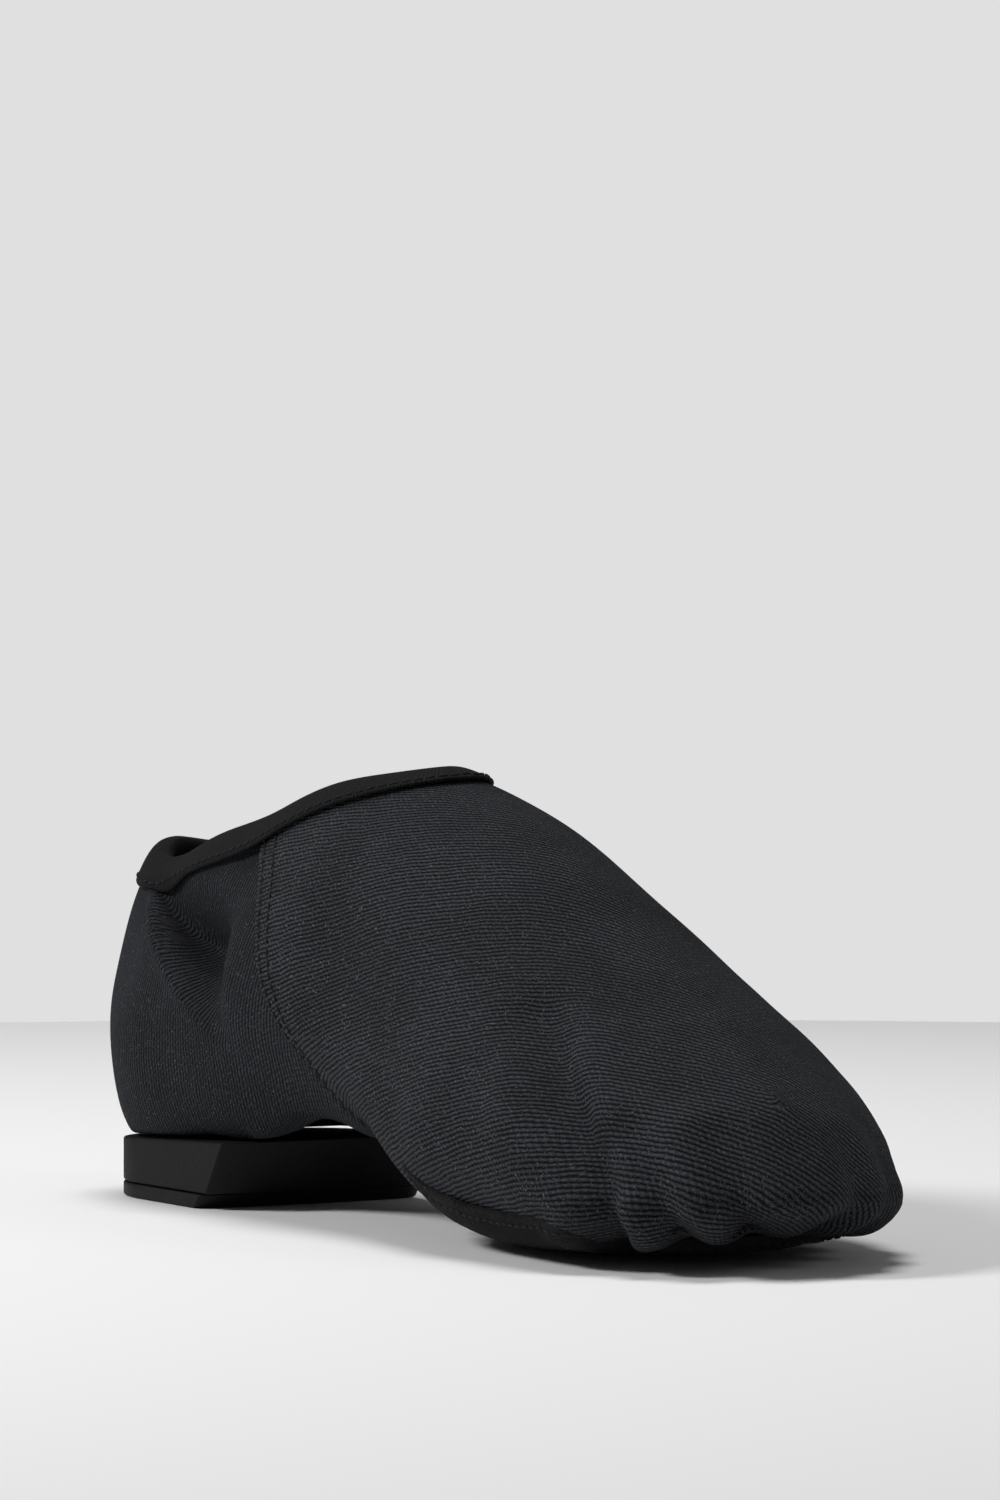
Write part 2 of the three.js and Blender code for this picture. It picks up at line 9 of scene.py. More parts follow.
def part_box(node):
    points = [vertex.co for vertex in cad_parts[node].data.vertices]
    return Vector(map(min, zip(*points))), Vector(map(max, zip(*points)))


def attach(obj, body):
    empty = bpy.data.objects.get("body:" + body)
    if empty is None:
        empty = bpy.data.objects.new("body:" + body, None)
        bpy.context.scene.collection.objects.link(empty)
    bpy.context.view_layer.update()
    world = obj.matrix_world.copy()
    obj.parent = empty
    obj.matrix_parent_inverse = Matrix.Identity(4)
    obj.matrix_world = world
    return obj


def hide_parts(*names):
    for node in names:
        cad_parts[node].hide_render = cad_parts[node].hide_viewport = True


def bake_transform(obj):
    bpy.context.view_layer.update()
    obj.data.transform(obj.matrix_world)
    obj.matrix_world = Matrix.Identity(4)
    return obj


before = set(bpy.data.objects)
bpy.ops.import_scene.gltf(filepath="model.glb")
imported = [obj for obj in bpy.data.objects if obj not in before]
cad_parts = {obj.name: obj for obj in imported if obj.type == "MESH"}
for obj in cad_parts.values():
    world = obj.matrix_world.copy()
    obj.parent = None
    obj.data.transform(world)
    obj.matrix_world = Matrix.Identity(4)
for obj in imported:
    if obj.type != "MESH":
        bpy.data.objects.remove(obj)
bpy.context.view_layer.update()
mm = 0.001
print("stage: frame loaded")


studio = {
    "eye": (1.0654, -0.6177, 0.115),
    "tilt": 89.205,
    "turn": 60,
    "lens": 143.5,
    "sensor": 36,
    "floorRadius": 0.72,
    "floorColor": (0.93, 0.93, 0.935, 1),
    "roomColor": (0.755, 0.745, 0.755, 1),
    "roomLight": 0.16,
}
lamps = [
    {"name": "overhead_lamp", "place": (-0.25, 0.1, 1.3), "size": 0.6, "watts": 8.5},
    {"name": "side_lamp", "place": (-0.35, -1.05, 0.9), "size": 0.4, "watts": 11.5},
    {"name": "toe_lamp", "place": (1.0, 0.7, 0.7), "size": 0.5, "watts": 1.2},
]


def clearSelection():
    if bpy.context.object and bpy.context.object.mode != "OBJECT":
        bpy.ops.object.mode_set(mode="OBJECT")
    bpy.ops.object.select_all(action="DESELECT")


def pickOnly(piece):
    clearSelection()
    piece.select_set(True)
    bpy.context.view_layer.objects.active = piece


def settle(piece):
    # puts the place of a new primitive into its mesh
    pickOnly(piece)
    bpy.ops.object.transform_apply(location=True, rotation=True, scale=True)


def buildStudio():
    camera = bpy.data.objects.new("camera", bpy.data.cameras.new("camera"))
    bpy.context.scene.collection.objects.link(camera)
    camera.location = studio["eye"]
    camera.rotation_euler = (math.radians(studio["tilt"]), 0, math.radians(studio["turn"]))
    camera.data.sensor_fit = "VERTICAL"
    camera.data.sensor_height = studio["sensor"]
    camera.data.lens = studio["lens"]
    camera.data.clip_end = 20
    bpy.context.scene.camera = camera
    for lamp in lamps:
        data = bpy.data.lights.new(lamp["name"], "AREA")
        data.shape = "DISK"
        data.size = lamp["size"]
        data.energy = lamp["watts"]
        light = bpy.data.objects.new(lamp["name"], data)
        bpy.context.scene.collection.objects.link(light)
        light.location = lamp["place"]
        light.rotation_euler = (-Vector(lamp["place"])).to_track_quat("-Z", "Y").to_euler()
    world = bpy.data.worlds.new("room")
    world.use_nodes = True
    tree = world.node_tree
    seen = tree.nodes["Background"]
    seen.inputs["Color"].default_value = studio["roomColor"]
    soft = tree.nodes.new("ShaderNodeBackground")
    soft.inputs["Color"].default_value = studio["roomColor"]
    soft.inputs["Strength"].default_value = studio["roomLight"]
    way = tree.nodes.new("ShaderNodeLightPath")
    either = tree.nodes.new("ShaderNodeMixShader")
    tree.links.new(way.outputs["Is Camera Ray"], either.inputs[0])
    tree.links.new(soft.outputs[0], either.inputs[1])
    tree.links.new(seen.outputs[0], either.inputs[2])
    tree.links.new(either.outputs[0], tree.nodes["World Output"].inputs["Surface"])
    bpy.context.scene.world = world
    bpy.context.scene.view_settings.view_transform = "Standard"
    clearSelection()
    bpy.ops.mesh.primitive_circle_add(vertices=128, radius=studio["floorRadius"], fill_type="NGON")
    floor = bpy.context.object
    floor.name = "floor"
    paper = bpy.data.materials.new("floor_paper")
    paper.use_nodes = True
    surface = paper.node_tree.nodes["Principled BSDF"]
    surface.inputs["Base Color"].default_value = studio["floorColor"]
    surface.inputs["Roughness"].default_value = 0.8
    surface.inputs["Specular IOR Level"].default_value = 0.2
    floor.data.materials.append(paper)


buildStudio()
print("stage: studio")


def addNode(tree, kind, **settings):
    node = tree.nodes.new(kind)
    for key, value in settings.items():
        setattr(node, key, value)
    return node


def feed(tree, socket, value):
    if isinstance(value, bpy.types.NodeSocket):
        tree.links.new(value, socket)
    else:
        socket.default_value = value


def compute(tree, operation, first, second=0.0, third=None):
    node = addNode(tree, "ShaderNodeMath", operation=operation)
    feed(tree, node.inputs[0], first)
    feed(tree, node.inputs[1], second)
    if third is not None:
        feed(tree, node.inputs[2], third)
    return node.outputs[0]


def ripple(tree, turns):
    # 0 to 1 and back once for each whole turn
    wave = compute(tree, "COSINE", compute(tree, "MULTIPLY", turns, 2 * math.pi))
    return compute(tree, "MULTIPLY_ADD", wave, 0.5, 0.5)


def rangeOf(tree, value, low, high, to=(0.0, 1.0)):
    node = addNode(tree, "ShaderNodeMapRange", interpolation_type="SMOOTHSTEP")
    feed(tree, node.inputs["Value"], value)
    for key, number in zip(("From Min", "From Max", "To Min", "To Max"), (low, high, *to)):
        node.inputs[key].default_value = number
    return node.outputs["Result"]


def noiseOf(tree, vector, scale, detail=2.0):
    node = addNode(tree, "ShaderNodeTexNoise")
    feed(tree, node.inputs["Vector"], vector)
    feed(tree, node.inputs["Scale"], scale)
    node.inputs["Detail"].default_value = detail
    return node.outputs["Fac"]


def centredNoise(tree, vector, scale, strength):
    return compute(tree, "MULTIPLY", compute(tree, "SUBTRACT", noiseOf(tree, vector, scale), 0.5), strength)


def blendColors(tree, amount, dark, light):
    node = addNode(tree, "ShaderNodeMix", data_type="RGBA")
    feed(tree, node.inputs["Factor"], amount)
    feed(tree, node.inputs[6], dark)
    feed(tree, node.inputs[7], light)
    return node.outputs[2]


def newGroup(name, inputs, outputs):
    group = bpy.data.node_groups.new(name, "ShaderNodeTree")
    for socketName, kind in inputs:
        group.interface.new_socket(socketName, in_out="INPUT", socket_type=kind)
    for socketName in outputs:
        group.interface.new_socket(socketName, in_out="OUTPUT", socket_type="NodeSocketFloat")
    return group, addNode(group, "NodeGroupInput"), addNode(group, "NodeGroupOutput")


def makeTwillWeave():
    # raised slanting ribs of floats, constant along the pattern's U and repeating along V
    inputs = [("Vector", "NodeSocketVector"), ("Wale", "NodeSocketFloat")]
    group, given, made = newGroup("twill_weave", inputs, ["Height"])
    split = addNode(group, "ShaderNodeSeparateXYZ")
    group.links.new(given.outputs["Vector"], split.inputs[0])
    wander = centredNoise(group, given.outputs["Vector"], 160, 1.1)
    uneven = centredNoise(group, given.outputs["Vector"], 900, 0.45)
    across = compute(group, "DIVIDE", split.outputs["Y"], given.outputs["Wale"])
    across = compute(group, "ADD", compute(group, "ADD", across, wander), uneven)
    rib = compute(group, "POWER", ripple(group, across), 0.8)
    step = compute(group, "MULTIPLY", across, 0.62)
    floatLength = compute(group, "MULTIPLY", given.outputs["Wale"], 1.15)
    along = compute(group, "DIVIDE", split.outputs["X"], floatLength)
    floats = ripple(group, compute(group, "ADD", along, step))
    height = compute(group, "MULTIPLY", rib, compute(group, "MULTIPLY_ADD", floats, 0.42, 0.58))
    group.links.new(height, made.inputs["Height"])
    return group


def makeLint():
    # short pale fibres caught in the cloth, and slow cloudy shading
    inputs = [("Vector", "NodeSocketVector"), ("Density", "NodeSocketFloat")]
    group, given, made = newGroup("lint", inputs, ["Fleck", "Cloud"])
    stretch = addNode(group, "ShaderNodeMapping")
    stretch.inputs["Scale"].default_value = (1.0, 2.6, 1.4)
    group.links.new(given.outputs["Vector"], stretch.inputs["Vector"])
    fine = noiseOf(group, stretch.outputs[0], 1700, 1.0)
    fleck = compute(group, "MULTIPLY", rangeOf(group, fine, 0.60, 0.78), given.outputs["Density"])
    group.links.new(fleck, made.inputs["Fleck"])
    cloud = rangeOf(group, noiseOf(group, given.outputs["Vector"], 45, 3.0), 0.35, 0.65)
    group.links.new(cloud, made.inputs["Cloud"])
    return group


def makeKnitRibs():
    # fine ribs across a strip, with U running along it
    inputs = [("Vector", "NodeSocketVector"), ("Pitch", "NodeSocketFloat")]
    group, given, made = newGroup("knit_ribs", inputs, ["Height"])
    split = addNode(group, "ShaderNodeSeparateXYZ")
    group.links.new(given.outputs["Vector"], split.inputs[0])
    wander = compute(group, "MULTIPLY", noiseOf(group, given.outputs["Vector"], 400), 0.8)
    ribs = compute(group, "DIVIDE", split.outputs["X"], given.outputs["Pitch"])
    turns = compute(group, "ADD", ribs, wander)
    group.links.new(ripple(group, turns), made.inputs["Height"])
    return group


def makeNap():
    # raised suede or felt fibres, with pressed and brushed patches
    inputs = [("Vector", "NodeSocketVector"), ("Fibre", "NodeSocketFloat")]
    group, given, made = newGroup("nap", inputs, ["Height", "Brushed"])
    fine = noiseOf(group, given.outputs["Vector"], given.outputs["Fibre"], 2.0)
    coarse = noiseOf(group, given.outputs["Vector"], 260, 3.0)
    group.links.new(compute(group, "MULTIPLY_ADD", coarse, 0.6, fine), made.inputs["Height"])
    brushed = rangeOf(group, noiseOf(group, given.outputs["Vector"], 60, 2.0), 0.35, 0.7)
    group.links.new(brushed, made.inputs["Brushed"])
    return group


twillWeave = makeTwillWeave()
lint = makeLint()
knitRibs = makeKnitRibs()
nap = makeNap()


def useGroup(tree, group, vector, **values):
    node = addNode(tree, "ShaderNodeGroup", node_tree=group)
    tree.links.new(vector, node.inputs["Vector"])
    for key, value in values.items():
        node.inputs[key].default_value = value
    return node


def newMaterial(name, roughness, sheen=0.0, specular=0.3, sheenTint=(1, 1, 1, 1)):
    material = bpy.data.materials.new(name)
    material.use_nodes = True
    tree = material.node_tree
    surface = tree.nodes["Principled BSDF"]
    surface.inputs["Roughness"].default_value = roughness
    surface.inputs["Specular IOR Level"].default_value = specular
    surface.inputs["Sheen Weight"].default_value = sheen
    surface.inputs["Sheen Roughness"].default_value = 0.45
    surface.inputs["Sheen Tint"].default_value = sheenTint
    return material, tree, surface


def setBump(tree, surface, height, distance, strength=1.0):
    bump = addNode(tree, "ShaderNodeBump")
    bump.inputs["Distance"].default_value = distance
    bump.inputs["Strength"].default_value = strength
    feed(tree, bump.inputs["Height"], height)
    tree.links.new(bump.outputs["Normal"], surface.inputs["Normal"])


def setColor(tree, surface, dust, color, fleck):
    tree.links.new(blendColors(tree, dust.outputs["Fleck"], color, fleck), surface.inputs["Base Color"])


def clothMaterial(name, groove, rib, fleck, wale, depth, sheen, density):
    material, tree, surface = newMaterial(name, 0.92, sheen, 0.12, (0.75, 0.8, 0.9, 1))
    pattern = addNode(tree, "ShaderNodeUVMap", uv_map="pattern")
    place = addNode(tree, "ShaderNodeTexCoord")
    weave = useGroup(tree, twillWeave, pattern.outputs[0], Wale=wale)
    dust = useGroup(tree, lint, place.outputs["Object"], Density=density)
    cloud = compute(tree, "MULTIPLY_ADD", dust.outputs["Cloud"], 0.25, 0.75)
    # painted light and shade: the weave's height picks between the groove colour, painted shade in the
    # hollows between the ribs, and the rib colour, painted light on the raised floats; the cloud only
    # varies how strong this is
    amount = compute(tree, "MULTIPLY", weave.outputs["Height"], cloud)
    color = blendColors(tree, amount, groove, rib)
    setColor(tree, surface, dust, color, fleck)
    fuzz = compute(tree, "MULTIPLY_ADD", dust.outputs["Fleck"], 0.5, weave.outputs["Height"])
    setBump(tree, surface, fuzz, depth)
    return material


knitPitch = 0.0007
plyPitch = 0.00045


def knitMaterial():
    material, tree, surface = newMaterial("knit_black", 0.85, 0.015, 0.1)
    pattern = addNode(tree, "ShaderNodeUVMap", uv_map="pattern")
    place = addNode(tree, "ShaderNodeTexCoord")
    ribs = useGroup(tree, knitRibs, pattern.outputs[0], Pitch=knitPitch)
    dust = useGroup(tree, lint, place.outputs["Object"], Density=0.35)
    # painted shade and light: one black yarn, darker in the rib hollows and lighter on the rib crests,
    # following the same ribs as the bump
    dark, light = (0.004, 0.004, 0.0045, 1), (0.010, 0.0105, 0.0115, 1)
    color = blendColors(tree, ribs.outputs["Height"], dark, light)
    setColor(tree, surface, dust, color, (0.05, 0.05, 0.055, 1))
    fuzz = compute(tree, "MULTIPLY_ADD", dust.outputs["Fleck"], 0.4, ribs.outputs["Height"])
    setBump(tree, surface, fuzz, 0.00012)
    return material


def suedeMaterial(name, dark, light, depth):
    material, tree, surface = newMaterial(name, 0.95, 0.01, 0.08)
    place = addNode(tree, "ShaderNodeTexCoord")
    fibres = useGroup(tree, nap, place.outputs["Object"], Fibre=1400.0)
    dust = useGroup(tree, lint, place.outputs["Object"], Density=0.5)
    # painted shade and light: the colour follows the fibre height of the bump, darker between the fibres
    # and lighter on their tips, more strongly in the brushed patches
    brushed = compute(tree, "MULTIPLY_ADD", fibres.outputs["Brushed"], 0.5, 0.3)
    shade = compute(tree, "MULTIPLY", fibres.outputs["Height"], brushed)
    color = blendColors(tree, shade, dark, light)
    setColor(tree, surface, dust, color, (0.06, 0.06, 0.06, 1))
    setBump(tree, surface, fibres.outputs["Height"], depth)
    return material


def mouldedMaterial(name, dark, light, roughness, depth):
    # matt moulded rubber or plastic: fine pits, dull scuffs
    material, tree, surface = newMaterial(name, roughness, 0.0, 0.25)
    place = addNode(tree, "ShaderNodeTexCoord")
    pits = noiseOf(tree, place.outputs["Object"], 900, 3.0)
    scuffs = rangeOf(tree, noiseOf(tree, place.outputs["Object"], 70, 4.0), 0.5, 0.75)
    dust = useGroup(tree, lint, place.outputs["Object"], Density=0.3)
    color = blendColors(tree, scuffs, dark, light)
    setColor(tree, surface, dust, color, (0.03, 0.03, 0.03, 1))
    feed(tree, surface.inputs["Roughness"], compute(tree, "MULTIPLY_ADD", scuffs, 0.12, roughness))
    setBump(tree, surface, pits, depth)
    return material


def threadMaterial():
    # slanting bands for the twisted plies, running through the whole shoe
    material, tree, surface = newMaterial("thread_black", 0.7, 0.01, 0.2)
    place = addNode(tree, "ShaderNodeTexCoord")
    split = addNode(tree, "ShaderNodeSeparateXYZ")
    tree.links.new(place.outputs["Object"], split.inputs[0])
    aside = compute(tree, "MULTIPLY_ADD", split.outputs["Z"], 0.8, split.outputs["Y"])
    slant = compute(tree, "ADD", split.outputs["X"], aside)
    plies = ripple(tree, compute(tree, "DIVIDE", slant, plyPitch))
    # painted shade and light: one black thread, darker between the twisted plies and lighter on them, in
    # the same bands as the bump
    color = blendColors(tree, plies, (0.003, 0.003, 0.0035, 1), (0.011, 0.0115, 0.013, 1))
    tree.links.new(color, surface.inputs["Base Color"])
    setBump(tree, surface, plies, 0.00006)
    return material


finishes = {
    # cloth colours: the groove colour is painted shade in the weave's hollows, the rib colour is painted
    # light on its raised floats, then real pale lint flecks
    "twill": clothMaterial("twill_black", (0.0012, 0.0013, 0.0018, 1), (0.06, 0.065, 0.074, 1),
                           (0.2, 0.21, 0.225, 1), 0.00105, 0.0005, 0.01, 0.7),
    "quarter": clothMaterial("canvas_black", (0.0025, 0.0028, 0.0035, 1), (0.038, 0.041, 0.048, 1),
                             (0.13, 0.14, 0.15, 1), 0.00105, 0.00035, 0.012, 0.6),
    "lining": clothMaterial("lining_black", (0.008, 0.008, 0.009, 1), (0.02, 0.02, 0.022, 1),
                            (0.06, 0.06, 0.06, 1), 0.0006, 0.00012, 0.01, 0.3),
    "knit": knitMaterial(),
    # suede, foam and board: the dark colour is painted shade between the fibres, the light colour painted
    # light on their tips
    "suede": suedeMaterial("suede_black", (0.004, 0.004, 0.0045, 1), (0.022, 0.022, 0.023, 1),
                           0.00045),
    "foam": suedeMaterial("foam_grey", (0.03, 0.03, 0.031, 1), (0.11, 0.11, 0.112, 1), 0.0002),
    "board": suedeMaterial("board_fibre", (0.18, 0.155, 0.12, 1), (0.4, 0.36, 0.3, 1), 0.00012),
    "heel_block": mouldedMaterial("heel_black", (0.0035, 0.0035, 0.0038, 1),
                                  (0.009, 0.009, 0.0095, 1), 0.72, 0.00012),
    "rubber": mouldedMaterial("rubber_black", (0.004, 0.004, 0.004, 1),
                              (0.014, 0.014, 0.014, 1), 0.62, 0.00006),
    "thread": threadMaterial(),
}


def paint(piece, finish):
    piece.data.materials.clear()
    piece.data.materials.append(finishes[finish])


print("stage: finishes")


# Points in millimetres, later turned into metres. The spine runs through the middle of the shoe,
# and cloth is drawn in towards it or pushed out from it.
spine = [(-95, -13, 42), (-62, -11, 48), (-10, -6, 52), (30, 0, 36), (62, 0, 22), (88, -3, 17)]
valley = {
    "top": 70, "foot": 36,                 # heights between which the quarter folds in
    "ridgeTop": -100, "ridgeFoot": -53,    # x of the crisp fold behind it
    "frontTop": -56, "frontFoot": -47,     # x where the cloth is full again
    "depth": 11.5, "deepest": 0.4, "ridgeRise": 2.2, "ridgeWidth": 3.5,
    "side": (14, 24), "rises": 22, "fades": (60, 71),
}
heelLift = {"most": 2.8, "side": (10, 20), "back": (-124, -108), "front": (-82, -50), "high": (46, 66)}
bumps = [                                  # places where the cloth stands fuller
    {"place": (-101, -31, 70), "reach": 9.0, "push": (-0.6, -1.6, 0.4)},
    {"place": (-118, -22, 45), "reach": 16.0, "push": (-1.0, -1.6, 0.0)},
    {"place": (4, 0, 86), "reach": 22.0, "push": (0.0, 0.0, 2.0)},
    {"place": (28, -4, 74), "reach": 26.0, "push": (0.0, 0.0, 3.2)},
]
sag = {"rear": (-70, -47), "front": (-18, 2), "high": (20, 34), "near": 5.2, "far": 5.6}
puff = {"most": 2.2, "toe": (58, 84), "high": (9, 20)}     # the toe's gathered edge hangs out
unevenness = {"most": 0.28, "side": (8, 20)}
foldShape = {"grows": 0.8, "eases": 0.45, "easing": (0.65, 1.0), "beside": 2.1, "through": (-14, -6)}
pleats = [
    {"line": [(60, -32, 50), (68, -33, 42), (75, -35, 35), (83, -36, 29), (92, -37, 22), (98, -37, 15),
              (97, -34, 9), (88, -25, 4)],
     "depth": (1.8, 6.0), "width": (5.0, 3.2), "swell": 0.35},
    {"line": [(98, -31, 25), (105, -31, 18), (109, -30, 12), (107, -25, 6), (98, -16, 4)],
     "depth": (1.6, 4.8), "width": (3.8, 2.7), "swell": 0.35},
    {"line": [(110, -19, 25), (116, -19, 18), (118, -18, 12), (113, -12, 6), (103, -6, 4)],
     "depth": (1.6, 5.2), "width": (3.8, 2.7), "swell": 0.35},
    {"line": [(117, 10, 23), (119, 7, 16), (115, 4, 10), (106, 2, 6)],
     "depth": (0.8, 3.0), "width": (4.5, 2.8), "swell": 0.3},
    {"line": [(106, 21, 22), (110, 19, 14), (104, 14, 7), (96, 10, 5)],
     "depth": (0.5, 2.6), "width": (4.5, 2.8), "swell": 0.3},
    {"line": [(92, 29, 26), (98, 30, 16), (94, 25, 7), (86, 18, 4)],
     "depth": (0.5, 2.6), "width": (5.0, 2.8), "swell": 0.3},
    {"line": [(70, 37, 30), (78, 37, 19), (77, 32, 8), (70, 24, 4)],
     "depth": (0.3, 2.0), "width": (6.0, 3.4), "swell": 0.3},
]
dents = [
    {"line": [(-9, -37, 56), (2, -40, 46), (14, -43, 38), (27, -45, 29)],
     "depth": (1.6, 2.0), "width": (9.0, 8.0), "swell": 0.25},
    {"line": [(62, -39, 37), (70, -39, 30), (76, -39, 22)],
     "depth": (-0.6, -1.2), "width": (7.0, 7.0), "swell": 0.0},
]


def smooth(low, high, value):
    t = np.clip((value - low) / (high - low), 0, 1)
    return t * t * (3 - 2 * t)


def nearestOnLine(points, line):
    # nearest place on a line of straight stretches, and how far along it lies, from 0 to 1
    line = np.array(line, float)
    lengths = np.linalg.norm(np.diff(line, axis=0), axis=1)
    starts = np.concatenate([[0], np.cumsum(lengths)])
    best = np.full(len(points), 1e9)
    place = np.zeros_like(points)
    share = np.zeros(len(points))
    for k, reach in enumerate(lengths):
        step = line[k + 1] - line[k]
        t = np.clip(((points - line[k]) @ step) / reach ** 2, 0, 1)
        near = line[k] + t[:, None] * step
        distance = np.linalg.norm(points - near, axis=1)
        closer = distance < best
        best[closer] = distance[closer]
        place[closer] = near[closer]
        share[closer] = ((starts[k] + t * reach) / starts[-1])[closer]
    return place, share


def drawnIn(points, inward, fold):
    # how far a fold draws each point in: its depth along the fold's line, swelling out beside it
    place, share = nearestOnLine(points, fold["line"])
    offset = points - place
    straight = np.sum(offset * inward, axis=1)
    beside = np.sqrt(np.maximum(np.sum(offset ** 2, axis=1) - straight ** 2, 0))
    facing = smooth(*foldShape["through"], -np.abs(straight))
    profile = share ** foldShape["grows"] * (1 - foldShape["eases"] * smooth(*foldShape["easing"], share))
    depth = fold["depth"][0] + (fold["depth"][1] - fold["depth"][0]) * profile
    width = fold["width"][0] + (fold["width"][1] - fold["width"][0]) * share
    groove = np.exp(-(beside / width) ** 2)
    swell = fold["swell"] * np.exp(-((beside - foldShape["beside"] * width) / width) ** 2)
    return facing * depth * (groove - swell)


def valleyDepth(points):
    x, y, z = points.T
    k = np.clip((valley["top"] - z) / (valley["top"] - valley["foot"]), 0, 1)
    ridge = valley["ridgeTop"] + (valley["ridgeFoot"] - valley["ridgeTop"]) * k
    front = valley["frontTop"] + (valley["frontFoot"] - valley["frontTop"]) * k
    u = (x - ridge) / (front - ridge)
    deepest = valley["deepest"]
    steep = 1 - (1 - np.clip(u / deepest, 0, 1)) ** 2
    fall = np.where(u < deepest, steep, 1 - smooth(deepest, 1.15, u))
    amount = smooth(valley["foot"] - 2, valley["foot"] + valley["rises"], z)
    amount = amount * (1 - smooth(*valley["fades"], z)) * smooth(*valley["side"], -y)
    rise = valley["ridgeRise"] * np.exp(-((x - ridge + 2.0) / valley["ridgeWidth"]) ** 2) * amount
    return valley["depth"] * fall * amount - rise


def drape(points):
    # the one way in which every soft layer is moved, so that they stay together
    points = points / mm
    x, y, z = points.T
    near = smooth(*heelLift["side"], -y) * smooth(*heelLift["back"], x)
    near = near * (1 - smooth(*heelLift["front"], x))
    lift = heelLift["most"] * near * smooth(*heelLift["high"], z)
    between = smooth(*sag["rear"], x) * (1 - smooth(*sag["front"], x)) * (1 - smooth(*sag["high"], z))
    lift = lift - between * (sag["near"] + (sag["far"] - sag["near"]) * smooth(-10, 12, y))
    raised = points.copy()
    raised[:, 2] += lift
    for bump in bumps:
        around = np.exp(-np.sum((points - bump["place"]) ** 2, axis=1) / bump["reach"] ** 2)
        raised += around[:, None] * np.array(bump["push"])
    points = raised
    place, _ = nearestOnLine(points, spine)
    inward = place - points
    inward /= np.maximum(np.linalg.norm(inward, axis=1), 1e-6)[:, None]
    depth = valleyDepth(points)
    for fold in pleats + dents:
        depth = depth + drawnIn(points, inward, fold)
    x, y, z = points.T
    depth = depth - puff["most"] * smooth(*puff["toe"], x) * (1 - smooth(*puff["high"], z))
    waves = np.sin(x / 9.0 + z / 13.0) * np.sin(z / 8.0 - x / 21.0)
    depth = depth + unevenness["most"] * waves * smooth(*unevenness["side"], np.abs(y + 5))
    return (points + inward * depth[:, None]) * mm


def meshPoints(piece):
    points = np.empty(len(piece.data.vertices) * 3)
    piece.data.vertices.foreach_get("co", points)
    return points.reshape(-1, 3)


def surfaceOf(piece):
    corners = [v.co for v in piece.data.vertices]
    return BVHTree.FromPolygons(corners, [face.vertices for face in piece.data.polygons])


def movePoints(piece, points):
    piece.data.vertices.foreach_set("co", points.ravel())
    piece.data.update()


def drapePiece(piece):
    movePoints(piece, drape(meshPoints(piece)))


def nodeCopy(node, name):
    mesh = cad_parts[node].data.copy()
    mesh.name = name
    piece = bpy.data.objects.new(name, mesh)
    bpy.context.scene.collection.objects.link(piece)
    pickOnly(piece)
    bpy.ops.mesh.customdata_custom_splitnormals_clear()
    for layer in list(mesh.uv_layers):
        mesh.uv_layers.remove(layer)
    bpy.ops.object.mode_set(mode="EDIT")
    bpy.ops.mesh.select_all(action="SELECT")
    bpy.ops.mesh.remove_doubles(threshold=1e-6)
    bpy.ops.mesh.tris_convert_to_quads(face_threshold=math.radians(45), shape_threshold=math.radians(75))
    bpy.ops.object.mode_set(mode="OBJECT")
    bpy.ops.object.shade_smooth()
    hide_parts(node)
    return piece


def markRims(piece, thickness, sharpness):
    # keeps the cut edges of a sheet crisp, and cuts its pattern along every sharp turn
    cage = bmesh.new()
    cage.from_mesh(piece.data)
    crease = cage.edges.layers.float.get("crease_edge") or cage.edges.layers.float.new("crease_edge")
    shortest = {face: min(edge.calc_length() for edge in face.edges) for face in cage.faces}
    narrow = {face for face, length in shortest.items() if length < 1.4 * thickness}
    for edge in cage.edges:
        turned = edge.calc_face_angle(0) > math.radians(42)
        if turned:
            rim = any(face in narrow for face in edge.link_faces)
            edge[crease] = sharpness if rim else sharpness * 0.75
        edge.seam = turned
    cage.to_mesh(piece.data)
    cage.free()


def islandsOf(cage):
    left = set(cage.faces)
    while left:
        start = left.pop()
        island, front = [start], [start]
        while front:
            face = front.pop()
            for edge in face.edges:
                for other in edge.link_faces if not edge.seam else ():
                    if other in left:
                        left.remove(other)
                        island.append(other)
                        front.append(other)
        yield island


